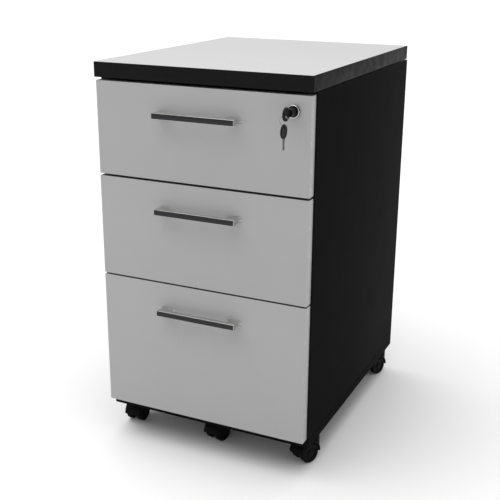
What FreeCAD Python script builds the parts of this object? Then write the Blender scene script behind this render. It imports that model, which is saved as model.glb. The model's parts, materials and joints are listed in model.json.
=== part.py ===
# Rolling pedestal cabinet: a board carcass on five twin-wheel castors, with three drawers on
# telescopic slides and one lock that bars all three.
# Millimetres, +Z up. The origin is on the floor under the middle of the whole object's box, and the
# drawers face -Y. Places are written as formulas of the words in DIMENSIONS.

import FreeCAD, Part
import os
import re
import Sketcher

SHEET = "Dimensions"

DIMENSIONS = {
    # cabinet
    "cabinet_height": 690,
    "board_width": 390,
    "board_depth": 500,
    "board_thickness": 25,
    "board_lead": 1,
    "edging_thickness": 2,
    "carcass_width": 390,
    "carcass_reach": 502,
    "key_reach": 42,
    "panel_thickness": 19,
    "shadow_gap": 2,
    "ground_gap": 55,
    "rail_width": 60,
    "dowel_radius": 4,
    "dowel_depth": 10,
    "dowel_length": 30,
    "back_dowel_low": 100,
    "back_dowel_high": 150,
    "floor_dowel_end": 110,
    "fit_clearance": 0.05,
    # drawers
    "front_width": 384,
    "front_thickness": 18,
    "front_gap": 2.5,
    "edge_rounding": 0.8,
    "top_front_low": 502.4,
    "top_front_high": 660,
    "middle_front_low": 322.3,
    "middle_front_high": 498.6,
    "bottom_front_low": 73,
    "bottom_front_high": 319.5,
    "top_box_low": 516,
    "top_box_high": 606,
    "middle_box_low": 336,
    "middle_box_high": 446,
    "bottom_box_low": 84,
    "bottom_box_high": 266,
    "box_width": 326,
    "box_depth": 412,
    "box_thickness": 12,
    "bottom_thickness": 4,
    "bottom_lift": 8,
    "groove_depth": 5,
    "board_fit": 0.1,
    # slides
    "slide_length": 400,
    "slide_setback": 3,
    "slide_lift": 24,
    "steel_thickness": 1.2,
    "outer_height": 45,
    "outer_depth": 9.5,
    "middle_height": 37,
    "middle_inset": 3.9,
    "middle_depth": 6.1,
    "middle_shortfall": 5,
    "inner_height": 30,
    "inner_depth": 6.5,
    # handles
    "top_handle_level": 613,
    "middle_handle_level": 453,
    "bottom_handle_level": 273,
    "handle_length": 147,
    "handle_height": 10,
    "handle_depth": 9,
    "handle_reach": 23.5,
    "handle_rounding": 0.5,
    "foot_spacing": 128,
    "foot_flare": 6,
    "foot_base_width": 28,
    "foot_base_height": 12,
    "foot_waist_width": 19,
    "foot_waist_height": 9.8,
    "foot_tip_width": 16.5,
    "foot_tip_height": 9,
    "inlay_margin": 0.6,
    "inlay_height": 8.8,
    "inlay_depth": 1,
    # screws
    "screw_radius": 2,
    "screw_head_radius": 3.8,
    "screw_head_height": 2.2,
    "handle_screw_depth": 8,
    "front_screw_depth": 12,
    "front_screw_edge": 20,
    "front_screw_side": 110,
    "top_screw_depth": 16,
    "top_screw_side": 120,
    # lock
    "lock_side": 163.5,
    "lock_height": 635.4,
    "bezel_radius": 10.5,
    "bezel_reach": 4.5,
    "barrel_radius": 9,
    "barrel_depth": 27,
    "nut_width": 21,
    "nut_thickness": 4,
    "plug_radius": 6.5,
    "plug_reach": 19.5,
    "tail_width": 6,
    "tail_depth": 31,
    "cam_radius": 9.5,
    "cam_depth": 28,
    "cam_thickness": 2,
    "crank_offset": 4.243,
    "drive_pin_radius": 1.5,
    "drive_pin_length": 7,
    "keyway_width": 2,
    "keyway_height": 5.2,
    "keyway_depth": 19,
    # keys
    "key_head_length": 22,
    "key_head_width": 21,
    "key_head_thickness": 3.4,
    "key_hole_radius": 2.6,
    "key_hole_inset": 3.9,
    "blade_length": 17,
    "blade_thickness": 1.7,
    "blade_width": 4.8,
    "ring_radius": 7,
    "ring_wire_radius": 0.5,
    "ring_sag": 1.7,
    # lock bar
    "bar_front": 32,
    "bar_width": 12,
    "bar_thickness": 5,
    "bar_low": 95,
    "groove_margin": 1,
    "groove_overrun": 10,
    "bar_groove_depth": 8,
    "bar_inset": 1.5,
    "tab_front": 33,
    "tab_thickness": 3,
    "tab_reach": 24.5,
    "tab_low": 626.5,
    "tab_high": 636,
    "slot_reach": 21.2,
    "slot_near": 14.4,
    "slot_clearance": 0.4,
    "peg_radius": 3,
    "peg_reach": 10,
    "peg_drop": 4.5,
    "catch_drop": 16,
    "catch_height": 10,
    "catch_thickness": 1.5,
    "catch_gap": 0.5,
    "catch_depth": 14,
    "catch_reach": 9.6,
    "catch_plate_depth": 36,
    "clip_margin": 7,
    "clip_height": 12,
    "clip_thickness": 2,
    "high_clip_drop": 20,
    "low_clip_lift": 70,
    # castors
    "castor_side": 177.5,
    "castor_front": 88,
    "castor_rear": 482,
    "castor_trail": 18.5,
    "front_left_turn": 180,
    "front_middle_turn": 168,
    "front_right_turn": 153,
    "rear_left_turn": 204,
    "rear_right_turn": 156,
    "castor_plate_width": 32,
    "castor_plate_thickness": 2.5,
    "castor_screw_side": 11.5,
    "castor_screw_depth": 12,
    "stem_radius": 4,
    "stem_length": 14,
    "hub_radius": 12,
    "hub_low": 20,
    "hub_high": 51.5,
    "hood_radius": 23.5,
    "hood_half_width": 16.5,
    "web_half_width": 5,
    "web_margin": 6,
    "wheel_radius": 18,
    "wheel_inner": 6.2,
    "wheel_outer": 16,
    "wheel_clearance": 1.5,
    "wheel_rounding": 1.5,
    "dish_radius": 12.5,
    "dish_depth": 1.5,
    "axle_radius": 2.5,
    "axle_end_inset": 1,
}

# places that several parts share
FRONT_REACH = "(key_reach - key_hole_inset + key_head_width / 2)"
FRONT_Y = f"(({FRONT_REACH} - carcass_reach) / 2)"
FRONT_BACK_Y = f"({FRONT_Y} + front_thickness)"
CARCASS_Y = f"({FRONT_BACK_Y} + front_gap)"
CARCASS_BACK_Y = f"({FRONT_Y} + carcass_reach)"
BOARD_Y = f"({FRONT_Y} - board_lead)"
BOARD_LOW = "(cabinet_height - board_thickness)"
RAIL_LOW = f"({BOARD_LOW} - panel_thickness)"
SIDE_LOW = "(ground_gap + panel_thickness)"
SIDE_HIGH = f"({BOARD_LOW} - shadow_gap)"
OUTSIDE = "(carcass_width / 2)"
INSIDE = "(carcass_width / 2 - panel_thickness)"
BOX_SIDE = "(box_width / 2)"
BOX_BACK_Y = f"({FRONT_BACK_Y} + box_depth)"
SUB_FRONT_BACK_Y = f"({FRONT_BACK_Y} + box_thickness)"
SLIDE_Y = f"({CARCASS_Y} + slide_setback)"
SLIDE_END_Y = f"({SLIDE_Y} + slide_length)"
BAR_Y = f"({FRONT_Y} + bar_front)"
BAR_X = f"({INSIDE} + bar_inset)"
CATCH_Y = f"({BAR_Y} + bar_width / 2 + peg_radius + catch_gap)"
KEY_HEAD_Y = f"({FRONT_Y} - key_reach)"
KEY_HOLE_Y = f"({KEY_HEAD_Y} + key_hole_inset)"
RING_TOP = "(lock_height - ring_sag)"
RING_BOTTOM = f"({RING_TOP} - 2 * ring_radius)"
PLATE_LOW = "(ground_gap - castor_plate_thickness)"

DRAWERS = ("top", "middle", "bottom")
SIDES = (-1, 1)
# the X of each swivel's axis, and its distance behind the drawer fronts
CASTORS = {
    "front_left": ("-castor_side", "castor_front"),
    "front_middle": ("0", "castor_front"),
    "front_right": ("castor_side", "castor_front"),
    "rear_left": ("-castor_side", "castor_rear"),
    "rear_right": ("castor_side", "castor_rear"),
}

Vector = FreeCAD.Vector
Rotation = FreeCAD.Rotation
ALONG = {
    "X": Rotation(Vector(0, 1, 0), 90),
    "Y": Rotation(Vector(1, 0, 0), -90),
    "Z": Rotation(),
}
UPRIGHT = Rotation(Vector(1, 0, 0), 90)

doc = FreeCAD.newDocument("pedestal")
parts = []


def make_sheet():
    """Every driving dimension in a cell of its own, named by its word."""
    sheet = doc.addObject("Spreadsheet::Sheet", SHEET)
    for row, (word, value) in enumerate(DIMENSIONS.items(), start=1):
        sheet.set(f"A{row}", str(value))
        sheet.setAlias(f"A{row}", word)
    doc.recompute()


def sized(formula):
    """The formula, with each dimension's word pointing at its cell."""

    def cell(word):
        return f"{SHEET}.{word[0]}" if word[0] in DIMENSIONS else word[0]

    return re.sub(r"[a-z_]+", cell, formula)


def bind(thing, **sizes):
    for name, formula in sizes.items():
        thing.setExpression(name, sized(formula))


def place(thing, at, rotation=None):
    if rotation:
        thing.Placement = FreeCAD.Placement(Vector(), rotation)
    for axis, formula in zip("xyz", at):
        thing.setExpression(f"Placement.Base.{axis}", sized(formula))
    return thing


def named(label, thing):
    """Make this object a sub-part, which is written to a file of that name."""
    thing.Label = label
    parts.append(thing)
    return thing


# primitives and booleans


def block(low, high):
    """A box between two corners."""
    box = doc.addObject("Part::Box", "Block")
    length, width, height = (f"({end}) - ({start})" for start, end in zip(low, high))
    bind(box, Length=length, Width=width, Height=height)
    return place(box, low)


def side_block(side, inner, outer, low, high):
    """A box on the left (-1) or right (1), between two distances from the middle."""
    left, right = (inner, outer) if side > 0 else (f"-({outer})", f"-({inner})")
    return block((left, *low), (right, *high))


def rod(start, along, length, radius):
    pin = doc.addObject("Part::Cylinder", "Rod")
    bind(pin, Radius=radius, Height=length)
    return place(pin, start, ALONG[along])


def fused(*pieces):
    whole = doc.addObject("Part::MultiFuse", "Fuse")
    whole.Shapes = list(pieces)
    return whole


def cut(base, *tools):
    rest = doc.addObject("Part::Cut", "Cut")
    rest.Base = base
    rest.Tool = tools[0] if len(tools) == 1 else fused(*tools)
    return rest


def shared(first, second):
    both = doc.addObject("Part::Common", "Common")
    both.Base = first
    both.Tool = second
    return both


def group(*pieces):
    """Separate solids that belong to one sub-part."""
    together = doc.addObject("Part::Compound", "Group")
    together.Links = list(pieces)
    return together


# bodies and sketches


def new_body(name):
    return doc.addObject("PartDesign::Body", name)


def sketch_on(body, role, offset="0"):
    """A sketch on one of the body's origin planes, moved along the plane's normal."""
    plane = next(p for p in body.Origin.OriginFeatures if p.Role == role)
    sketch = body.newObject("Sketcher::SketchObject", "Sketch")
    sketch.AttachmentSupport = (plane, "")
    sketch.MapMode = "FlatFace"
    sketch.setExpression("AttachmentOffset.Base.z", sized(offset))
    return sketch


def draw_outline(sketch, corners):
    """A closed outline through the corners, each held by its two distances from the origin."""
    starts = [Vector(*xy, 0) for xy in ((0, 0), (9, 0), (9, 9), (0, 9))]
    count = len(corners)
    if count > len(starts):
        starts = [Rotation(Vector(0, 0, 1), 360 * i / count) * Vector(9, 0, 0) for i in range(count)]
    for i in range(count):
        sketch.addGeometry(Part.LineSegment(starts[i], starts[(i + 1) % count]), False)
    for i in range(count):
        sketch.addConstraint(Sketcher.Constraint("Coincident", i, 2, (i + 1) % count, 1))
    for i, (across, up) in enumerate(corners):
        for kind, formula in (("DistanceX", across), ("DistanceY", up)):
            index = sketch.addConstraint(Sketcher.Constraint(kind, -1, 1, i, 1, 1.0))
            sketch.setExpression(f"Constraints[{index}]", sized(formula))


def draw_circle(sketch, centre, radius):
    index = sketch.addGeometry(Part.Circle(Vector(1, 1, 0), Vector(0, 0, 1), 5), False)
    for kind, formula in (("DistanceX", centre[0]), ("DistanceY", centre[1])):
        held = sketch.addConstraint(Sketcher.Constraint(kind, -1, 1, index, 3, 1.0))
        sketch.setExpression(f"Constraints[{held}]", sized(formula))
    held = sketch.addConstraint(Sketcher.Constraint("Radius", index, 5.0))
    sketch.setExpression(f"Constraints[{held}]", sized(radius))


def corners_between(left, low, right, high):
    return ((left, low), (right, low), (right, high), (left, high))


def pad(body, sketch, length):
    feature = body.newObject("PartDesign::Pad", "Pad")
    feature.Profile = sketch
    bind(feature, Length=length)
    return feature


def pocket(body, sketch, length):
    """Cut against the sketch's normal, and make sure that something was cut."""
    doc.recompute()
    before = body.Shape.Volume
    feature = body.newObject("PartDesign::Pocket", "Pocket")
    feature.Profile = sketch
    bind(feature, Length=length)
    doc.recompute()
    if body.Shape.Volume >= before:
        raise RuntimeError(f"a pocket of {body.Name} cuts nothing")
    return feature


def round_all(body, feature, radius):
    fillet = body.newObject("PartDesign::Fillet", "Fillet")
    fillet.Base = (feature, [""])
    fillet.UseAllEdges = True
    bind(fillet, Radius=radius)
    return fillet


# cabinet

RAIL_STARTS = {
    "front_rail": CARCASS_Y,
    "rear_rail": f"({CARCASS_BACK_Y} - panel_thickness - rail_width)",
}
RAIL_MIDDLES = tuple(f"{start} + rail_width / 2" for start in RAIL_STARTS.values())
# dowels between the sides and the boards between them: the Y and Z of each
SIDE_DOWELS = (
    (RAIL_MIDDLES[0], f"{RAIL_LOW} + panel_thickness / 2"),
    (RAIL_MIDDLES[1], f"{RAIL_LOW} + panel_thickness / 2"),
    (f"{CARCASS_BACK_Y} - panel_thickness / 2", f"{SIDE_LOW} + back_dowel_low"),
    (f"{CARCASS_BACK_Y} - panel_thickness / 2", f"{SIDE_HIGH} - back_dowel_high"),
)
# upright dowels between the bottom panel and the sides: the Y of each
FLOOR_DOWELS = (f"{CARCASS_Y} + floor_dowel_end", f"{CARCASS_BACK_Y} - floor_dowel_end")


def dowels(clearance="0"):
    """All the dowels, or the holes for them."""
    radius = f"dowel_radius + {clearance}"
    length = f"dowel_length + 2 * {clearance}"
    pins = []
    for y, z in SIDE_DOWELS:
        for start in (f"{INSIDE} - dowel_length + dowel_depth", f"-{INSIDE} - dowel_depth"):
            pins.append(rod((f"{start} - {clearance}", y, z), "X", length, radius))
    low = f"{SIDE_LOW} - dowel_depth - {clearance}"
    for side in SIDES:
        for y in FLOOR_DOWELS:
            pins.append(rod((f"{side} * ({INSIDE} + panel_thickness / 2)", y, low), "Z", length, radius))
    return pins


def top_screw_places(z):
    return [(f"{side} * top_screw_side", y, z) for side in SIDES for y in RAIL_MIDDLES]


def top_screws(clearance="0"):
    """Shanks of the screws that go up through the rails into the top board."""
    length = f"panel_thickness + top_screw_depth + {clearance}"
    radius = f"screw_radius + {clearance}"
    return [rod(at, "Z", length, radius) for at in top_screw_places(RAIL_LOW)]


def top_screw_heads():
    places = top_screw_places(f"{RAIL_LOW} - screw_head_height")
    return [rod(at, "Z", "screw_head_height", "screw_head_radius") for at in places]


def make_top():
    """The top board, inside a frame of four edging strips."""
    half = "(board_width / 2 - edging_thickness)"
    front = f"({BOARD_Y} + edging_thickness)"
    back = f"({BOARD_Y} + board_depth - edging_thickness)"
    body = new_body("TopBoard")
    sketch = sketch_on(body, "XY_Plane", BOARD_LOW)
    draw_outline(sketch, corners_between(f"-{half}", front, half, back))
    pad(body, sketch, "board_thickness")
    named("top_board", cut(body, *top_screws("fit_clearance")))

    low, high = BOARD_LOW, "cabinet_height"
    strips = [side_block(side, half, "board_width / 2", (front, low), (back, high)) for side in SIDES]
    edge = "board_width / 2"
    strips.append(block((f"-{edge}", BOARD_Y, low), (edge, front, high)))
    strips.append(block((f"-{edge}", back, low), (edge, f"{BOARD_Y} + board_depth", high)))
    named("top_edge_band", group(*strips))


def side_panel(side):
    return side_block(side, INSIDE, OUTSIDE, (CARCASS_Y, SIDE_LOW), (CARCASS_BACK_Y, SIDE_HIGH))


def make_carcass():
    holes = dowels("fit_clearance")
    named("side_panel_left", cut(side_panel(-1), *holes))

    body = new_body("SidePanelRight")
    sketch = sketch_on(body, "YZ_Plane", INSIDE)
    draw_outline(sketch, corners_between(CARCASS_Y, SIDE_LOW, CARCASS_BACK_Y, SIDE_HIGH))
    pad(body, sketch, "panel_thickness")
    groove = sketch_on(body, "YZ_Plane", f"{INSIDE} + bar_groove_depth")
    start = f"{BAR_Y} - groove_margin"
    end = f"{BAR_Y} + bar_width + groove_margin"
    draw_outline(groove, corners_between(start, "bar_low - groove_overrun", end, SIDE_HIGH))
    pocket(body, groove, "bar_groove_depth")
    named("side_panel_right", cut(body, *holes))

    back_y = f"{CARCASS_BACK_Y} - panel_thickness"
    back = block((f"-{INSIDE}", back_y, SIDE_LOW), (INSIDE, CARCASS_BACK_Y, BOARD_LOW))
    named("back_panel", cut(back, *holes))

    floor = block((f"-{OUTSIDE}", CARCASS_Y, "ground_gap"), (OUTSIDE, CARCASS_BACK_Y, SIDE_LOW))
    named("bottom_panel", cut(floor, *holes, *castor_screw_shanks("fit_clearance")))

    for label, start in RAIL_STARTS.items():
        rail = block((f"-{INSIDE}", start, RAIL_LOW), (INSIDE, f"{start} + rail_width", BOARD_LOW))
        named(label, cut(rail, *holes, *top_screws("fit_clearance")))

    named("carcass_dowels", group(*dowels()))
    screws = [fused(shank, head) for shank, head in zip(top_screws(), top_screw_heads())]
    named("top_fixing_screws", group(*screws))


# slides


def channel(side, solid_faces, hollow_faces, height, middle, run):
    """A steel C section along Y, between two distances from the middle and hollow between two more."""
    start, end = run
    half = f"{height} / 2"
    inside_half = f"({height} / 2 - steel_thickness)"
    solid_corners = (start, f"{middle} - {half}"), (end, f"{middle} + {half}")
    hollow_start = (f"{start} - 1", f"{middle} - {inside_half}")
    hollow_end = (f"{end} + 1", f"{middle} + {inside_half}")
    solid = side_block(side, *solid_faces, *solid_corners)
    return cut(solid, side_block(side, *hollow_faces, hollow_start, hollow_end))


def inward_channel(side, outer, depth, height, middle, run):
    """A section whose web is on its outer side."""
    inner = f"{outer} - {depth}"
    return channel(side, (inner, outer), (f"{inner} - 1", f"{outer} - steel_thickness"), height, middle, run)


def outward_channel(side, inner, depth, height, middle, run):
    """A section whose web is on its inner side."""
    outer = f"{inner} + {depth}"
    return channel(side, (inner, outer), (f"{inner} + steel_thickness", f"{outer} + 1"), height, middle, run)


def make_slides():
    """Cabinet, intermediate and drawer members, which nest in one another with room for the balls."""
    run = (SLIDE_Y, SLIDE_END_Y)
    short_run = (f"{SLIDE_Y} + middle_shortfall", f"{SLIDE_END_Y} - middle_shortfall")
    middle_face = f"{INSIDE} - middle_inset"
    cabinet_members = []
    for drawer in DRAWERS:
        level = f"({drawer}_box_low + slide_lift)"
        intermediates = []
        drawer_members = []
        for side in SIDES:
            cabinet_members.append(inward_channel(side, INSIDE, "outer_depth", "outer_height", level, run))
            intermediates.append(
                inward_channel(side, middle_face, "middle_depth", "middle_height", level, short_run)
            )
            drawer_members.append(outward_channel(side, BOX_SIDE, "inner_depth", "inner_height", level, run))
        named(f"slide_middle_{drawer}", group(*intermediates))
        named(f"slide_drawer_{drawer}", group(*drawer_members))
    named("slide_cabinet_members", group(*cabinet_members))


# drawers


def handle_screws(drawer, clearance="0"):
    start = f"{FRONT_Y} - handle_screw_depth - {clearance}"
    length = f"front_thickness + handle_screw_depth + {clearance}"
    places = [(f"{side} * foot_spacing / 2", start, f"{drawer}_handle_level") for side in SIDES]
    return [rod(at, "Y", length, f"screw_radius + {clearance}") for at in places]


def handle_screw_heads(drawer):
    places = [(f"{side} * foot_spacing / 2", FRONT_BACK_Y, f"{drawer}_handle_level") for side in SIDES]
    return [rod(at, "Y", "screw_head_height", "screw_head_radius") for at in places]


def front_screw_places(drawer, y):
    levels = (f"{drawer}_box_low + front_screw_edge", f"{drawer}_box_high - front_screw_edge")
    return [(f"{side} * front_screw_side", y, level) for side in SIDES for level in levels]


def front_screws(drawer, clearance="0"):
    """Shanks of the screws that hold the front to the drawer's box."""
    start = f"{FRONT_BACK_Y} - front_screw_depth - {clearance}"
    length = f"box_thickness + front_screw_depth + {clearance}"
    radius = f"screw_radius + {clearance}"
    return [rod(at, "Y", length, radius) for at in front_screw_places(drawer, start)]


def front_screw_heads(drawer):
    places = front_screw_places(drawer, SUB_FRONT_BACK_Y)
    return [rod(at, "Y", "screw_head_height", "screw_head_radius") for at in places]


def make_front(drawer):
    body = new_body(f"Front_{drawer}")
    sketch = sketch_on(body, "XZ_Plane", f"-{FRONT_BACK_Y}")
    low, high = f"{drawer}_front_low", f"{drawer}_front_high"
    corners = corners_between("-front_width / 2", low, "front_width / 2", high)
    draw_outline(sketch, corners)
    round_all(body, pad(body, sketch, "front_thickness"), "edge_rounding")
    if drawer == "top":
        hole = sketch_on(body, "XZ_Plane", f"-({FRONT_Y})")
        draw_circle(hole, ("lock_side", "lock_height"), "barrel_radius + fit_clearance")
        pocket(body, hole, "front_thickness")
    screws = handle_screws(drawer, "fit_clearance") + front_screws(drawer, "fit_clearance")
    named(f"front_{drawer}", cut(body, *screws))


def make_box(drawer):
    """Four boards round a thin bottom, which sits in a groove in each of them."""
    low, high = f"{drawer}_box_low", f"{drawer}_box_high"
    inner = f"({BOX_SIDE} - box_thickness)"
    back_front = f"{BOX_BACK_Y} - box_thickness"
    panel_low = f"{low} + bottom_lift"
    panel_high = f"{low} + bottom_lift + bottom_thickness"
    edge = f"({inner} + groove_depth)"
    front_edge = f"{SUB_FRONT_BACK_Y} - groove_depth"
    back_edge = f"{back_front} + groove_depth"

    def bottom(fit):
        first = (f"-{edge} - {fit}", f"{front_edge} - {fit}", f"{panel_low} - {fit}")
        last = (f"{edge} + {fit}", f"{back_edge} + {fit}", f"{panel_high} + {fit}")
        return block(first, last)

    boards = [
        side_block(side, inner, BOX_SIDE, (FRONT_BACK_Y, low), (BOX_BACK_Y, high)) for side in SIDES
    ]
    boards.append(block((f"-{inner}", back_front, low), (inner, BOX_BACK_Y, high)))
    grooved = [cut(board, bottom("board_fit")) for board in boards]
    sub_front = block((f"-{inner}", FRONT_BACK_Y, low), (inner, SUB_FRONT_BACK_Y, high))
    grooved.append(cut(sub_front, bottom("board_fit"), *front_screws(drawer, "fit_clearance")))
    named(f"drawer_box_{drawer}", group(*grooved))
    named(f"drawer_bottom_{drawer}", bottom("0"))


def foot_section(side, drawer, y, width, height):
    ellipse = doc.addObject("Part::Ellipse", "Ellipse")
    bind(ellipse, MajorRadius=f"{width} / 2", MinorRadius=f"{height} / 2")
    return place(ellipse, (f"{side} * foot_spacing / 2", y, f"{drawer}_handle_level"), UPRIGHT)


def handle_foot(side, drawer):
    """A cast foot that flares from the bar to the front."""
    loft = doc.addObject("Part::Loft", "Foot")
    bar_back = f"{FRONT_Y} - handle_reach + handle_depth"
    loft.Sections = [
        foot_section(side, drawer, FRONT_Y, "foot_base_width", "foot_base_height"),
        foot_section(side, drawer, f"{FRONT_Y} - foot_flare", "foot_waist_width", "foot_waist_height"),
        foot_section(side, drawer, f"{bar_back} - 1", "foot_tip_width", "foot_tip_height"),
    ]
    loft.Solid = True
    return loft


def make_handle(drawer):
    middle = f"{drawer}_handle_level"
    half = "handle_length / 2"
    front = f"{FRONT_Y} - handle_reach"
    body = new_body(f"Handle_{drawer}")
    sketch = sketch_on(body, "XZ_Plane", f"-({front} + handle_depth)")
    low, high = f"{middle} - handle_height / 2", f"{middle} + handle_height / 2"
    draw_outline(sketch, corners_between(f"-{half}", low, half, high))
    round_all(body, pad(body, sketch, "handle_depth"), "handle_rounding")
    bar = fused(body, *(handle_foot(side, drawer) for side in SIDES))

    inlay_half = "handle_length / 2 - inlay_margin"
    low, high = f"{middle} - inlay_height / 2", f"{middle} + inlay_height / 2"
    first, last = (f"-({inlay_half})", front, low), (inlay_half, f"{front} + inlay_depth", high)
    recess = block((first[0], f"{front} - 1", first[2]), last)
    named(f"handle_{drawer}", cut(bar, recess, *handle_screws(drawer, "fit_clearance")))
    named(f"handle_inlay_{drawer}", block(first, last))


def make_catch(drawer):
    """The bracket on the drawer's right side that the lock bar's peg stands in front of."""
    low = f"({drawer}_box_high - catch_drop)"
    high = f"{low} + catch_height"
    plate_end = f"{CATCH_Y} + catch_plate_depth"
    plate = side_block(1, BOX_SIDE, f"{BOX_SIDE} + catch_thickness", (CATCH_Y, low), (plate_end, high))
    hook_end = f"{CATCH_Y} + catch_depth"
    hook = side_block(1, BOX_SIDE, f"{BOX_SIDE} + catch_reach", (CATCH_Y, low), (hook_end, high))
    return fused(plate, hook)


def lock_nut():
    prism = doc.addObject("Part::Prism", "Nut")
    prism.Polygon = 6
    bind(prism, Circumradius="nut_width / 2 / cos(30)", Height="nut_thickness")
    place(prism, ("lock_side", FRONT_BACK_Y, "lock_height"), ALONG["Y"])
    start = ("lock_side", f"{FRONT_BACK_Y} - 1", "lock_height")
    hole = rod(start, "Y", "nut_thickness + 2", "barrel_radius + fit_clearance")
    return cut(prism, hole)


def make_drawers():
    for drawer in DRAWERS:
        make_front(drawer)
        make_box(drawer)
        make_handle(drawer)
        shanks = handle_screws(drawer) + front_screws(drawer)
        heads = handle_screw_heads(drawer) + front_screw_heads(drawer)
        fittings = [fused(shank, head) for shank, head in zip(shanks, heads)]
        fittings.append(make_catch(drawer))
        if drawer == "top":
            fittings.append(lock_nut())
        named(f"drawer_fittings_{drawer}", group(*fittings))


# lock


def lock_rod(start, length, radius):
    """A rod on the lock's axis, from a distance behind the drawer front's face."""
    return rod(("lock_side", f"{FRONT_Y} + {start}", "lock_height"), "Y", length, radius)


def lock_block(half_width, half_height, start, end):
    """A box about the lock's axis, between two distances behind the drawer front's face."""
    low = (f"lock_side - ({half_width})", f"{FRONT_Y} + {start}", f"lock_height - ({half_height})")
    high = (f"lock_side + ({half_width})", f"{FRONT_Y} + {end}", f"lock_height + ({half_height})")
    return block(low, high)


def make_lock():
    bezel = lock_rod("(-bezel_reach)", "bezel_reach", "bezel_radius")
    barrel = lock_rod("(-1)", "barrel_depth + 1", "barrel_radius")
    bore_length = "barrel_depth + bezel_reach + 2"
    bore = lock_rod("(-bezel_reach) - 1", bore_length, "plug_radius + fit_clearance")
    named("lock_housing", cut(fused(bezel, barrel), bore))

    plug = lock_rod("(-plug_reach)", "plug_reach + barrel_depth", "plug_radius")
    tail = lock_block("tail_width / 2", "tail_width / 2", "barrel_depth - 1", "tail_depth")
    keyway_end = "keyway_depth - plug_reach"
    keyway = lock_block("keyway_width / 2", "keyway_height / 2", "(-plug_reach) - 1", keyway_end)
    named("lock_plug", cut(fused(plug, tail), keyway))

    plate = lock_rod("cam_depth", "cam_thickness", "cam_radius")
    plate_end = "cam_depth + cam_thickness"
    hole = lock_block("tail_width / 2", "tail_width / 2", "cam_depth - 1", f"{plate_end} + 1")
    pin_y = f"{FRONT_Y} + {plate_end} - 1"
    pin_start = ("lock_side - crank_offset", pin_y, "lock_height - crank_offset")
    pin = rod(pin_start, "Y", "drive_pin_length + 1", "drive_pin_radius")
    named("lock_cam", fused(cut(plate, hole), pin))


def bar_peg(drawer):
    """A peg just under the drawer's catch, so that the unlocked drawer passes over it."""
    start = (
        f"{INSIDE} - peg_reach",
        f"{BAR_Y} + bar_width / 2",
        f"{drawer}_box_high - catch_drop - peg_drop",
    )
    return rod(start, "X", "peg_reach + bar_inset + 1", "peg_radius")


def make_lock_bar():
    """A flat bar in the side panel's groove, with a slotted tab for the drive pin and three pegs."""
    bar_end = f"{BAR_Y} + bar_width"
    bar = side_block(1, BAR_X, f"{BAR_X} + bar_thickness", (BAR_Y, "bar_low"), (bar_end, "tab_high"))
    tab_y = f"{FRONT_Y} + tab_front"
    tab_end = f"{tab_y} + tab_thickness"
    tab_far = f"{INSIDE} - tab_reach"
    tab = side_block(1, tab_far, f"{BAR_X} + 1", (tab_y, "tab_low"), (tab_end, "tab_high"))
    pin_height = "lock_height - crank_offset"
    half_slot = "(drive_pin_radius + slot_clearance)"
    slot = side_block(
        1,
        f"{INSIDE} - slot_reach",
        f"{INSIDE} - slot_near",
        (f"{tab_y} - 1", f"{pin_height} - {half_slot}"),
        (f"{tab_end} + 1", f"{pin_height} + {half_slot}"),
    )
    pegs = [bar_peg(drawer) for drawer in DRAWERS]
    named("lock_bar", cut(fused(bar, tab, *pegs), slot))

    levels = ["bottom_box_low + low_clip_lift"]
    levels.extend(f"{drawer}_box_low - high_clip_drop" for drawer in ("top", "middle"))
    clips = []
    for level in levels:
        low = (f"{BAR_Y} - clip_margin", f"{level} - clip_height / 2")
        high = (f"{bar_end} + clip_margin", f"{level} + clip_height / 2")
        clips.append(side_block(1, f"{INSIDE} - clip_thickness", INSIDE, low, high))
    named("lock_bar_guides", group(*clips))


# keys


def key_shape():
    """A key in the YZ plane, blade along +Y, with its head's far end at the origin."""
    head = doc.addObject("Part::Ellipse", "Ellipse")
    bind(head, MajorRadius="key_head_length / 2", MinorRadius="key_head_width / 2")
    place(head, ("0", "0", "0"))
    bow = doc.addObject("Part::Extrusion", "Bow")
    bow.Base = head
    bow.Dir = Vector(0, 0, 1)
    bow.DirMode = "Custom"
    bow.Solid = True
    bind(bow, LengthFwd="key_head_thickness")
    turn = Rotation(Vector(0, 1, 0), Vector(0, 0, 1), Vector(1, 0, 0), "ZXY")
    place(bow, ("-key_head_thickness / 2", "key_head_length / 2", "0"), turn)
    hole_start = ("-key_head_thickness", "key_hole_inset", "0")
    hole = rod(hole_start, "X", "2 * key_head_thickness", "key_hole_radius")
    blade_low = ("-blade_thickness / 2", "key_head_length - 3", "-blade_width / 2")
    blade_high = ("blade_thickness / 2", "key_head_length + blade_length", "blade_width / 2")
    return fused(cut(bow, hole), block(blade_low, blade_high))


def make_keys():
    named("key", place(group(key_shape()), ("lock_side", KEY_HEAD_Y, "lock_height")))

    hanging = Rotation(Vector(1, 0, 0), -90)
    hole_centre = f"{RING_BOTTOM} - ring_sag"
    at = ("lock_side", KEY_HOLE_Y, f"{hole_centre} + key_hole_inset")
    named("spare_key", place(group(key_shape()), at, hanging))

    ring = doc.addObject("Part::Torus", "Ring")
    bind(ring, Radius1="ring_radius", Radius2="ring_wire_radius")
    named("key_ring", place(ring, ("lock_side", KEY_HOLE_Y, f"{RING_TOP} - ring_radius"), UPRIGHT))


# castors


def castor_places():
    """The X and Y of each swivel's axis, by the castor's name."""
    return {name: (x, f"{FRONT_Y} + {y}") for name, (x, y) in CASTORS.items()}


def castor_screw_places(z):
    return [
        (f"{x} + {side} * castor_screw_side", f"{y} + {end} * castor_screw_side", z)
        for x, y in castor_places().values()
        for side in SIDES
        for end in SIDES
    ]


def castor_screw_shanks(clearance="0"):
    length = f"castor_plate_thickness + castor_screw_depth + {clearance}"
    radius = f"screw_radius + {clearance}"
    return [rod(at, "Z", length, radius) for at in castor_screw_places(PLATE_LOW)]


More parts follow.
